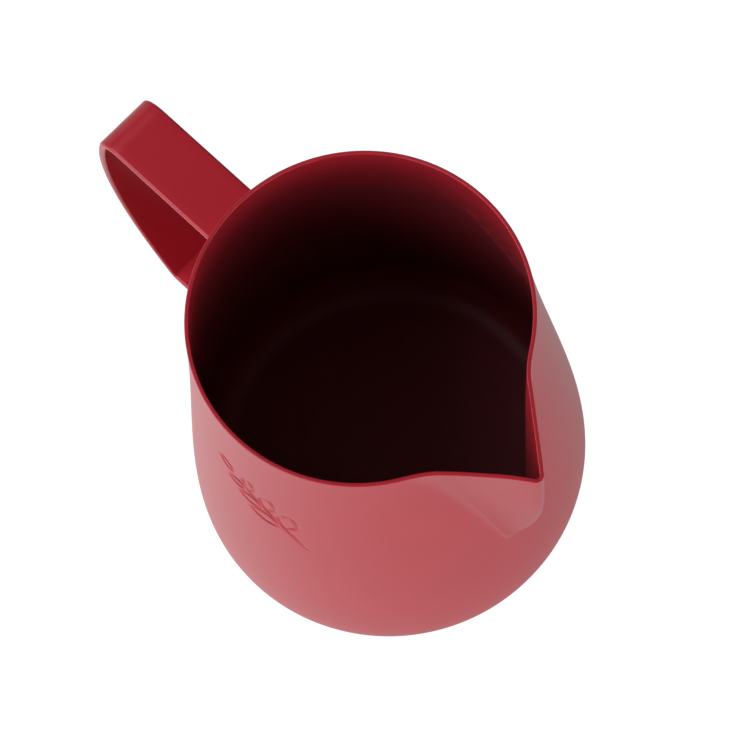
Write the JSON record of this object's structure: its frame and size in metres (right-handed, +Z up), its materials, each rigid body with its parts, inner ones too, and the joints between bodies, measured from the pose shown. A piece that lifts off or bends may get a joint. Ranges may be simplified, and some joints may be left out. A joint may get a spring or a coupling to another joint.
{
  "type": "milk frothing pitcher",
  "caption": "Open bell-shaped sheet-metal jug with a pressed V spout and a bowed strap handle, coated satin red, for steaming and pouring milk.",
  "frame": {"origin": "centre of the cup's flat underside, on the cup's own axis", "axes": "+Z up along the cup's axis, +X towards the spout, the handle along -X, and Y across the width of the handle strap"},
  "size_m": [0.1333, 0.0962, 0.1136],
  "materials": {
    "red_coating": "satin baked-on coating, deep red, inside and out"
  },
  "bodies": {
    "root": {"pitcher_cup": "red_coating", "handle_strap": "red_coating", "upper_handle_weld": "red_coating", "lower_handle_weld": "red_coating"}
  },
  "joints": []
}
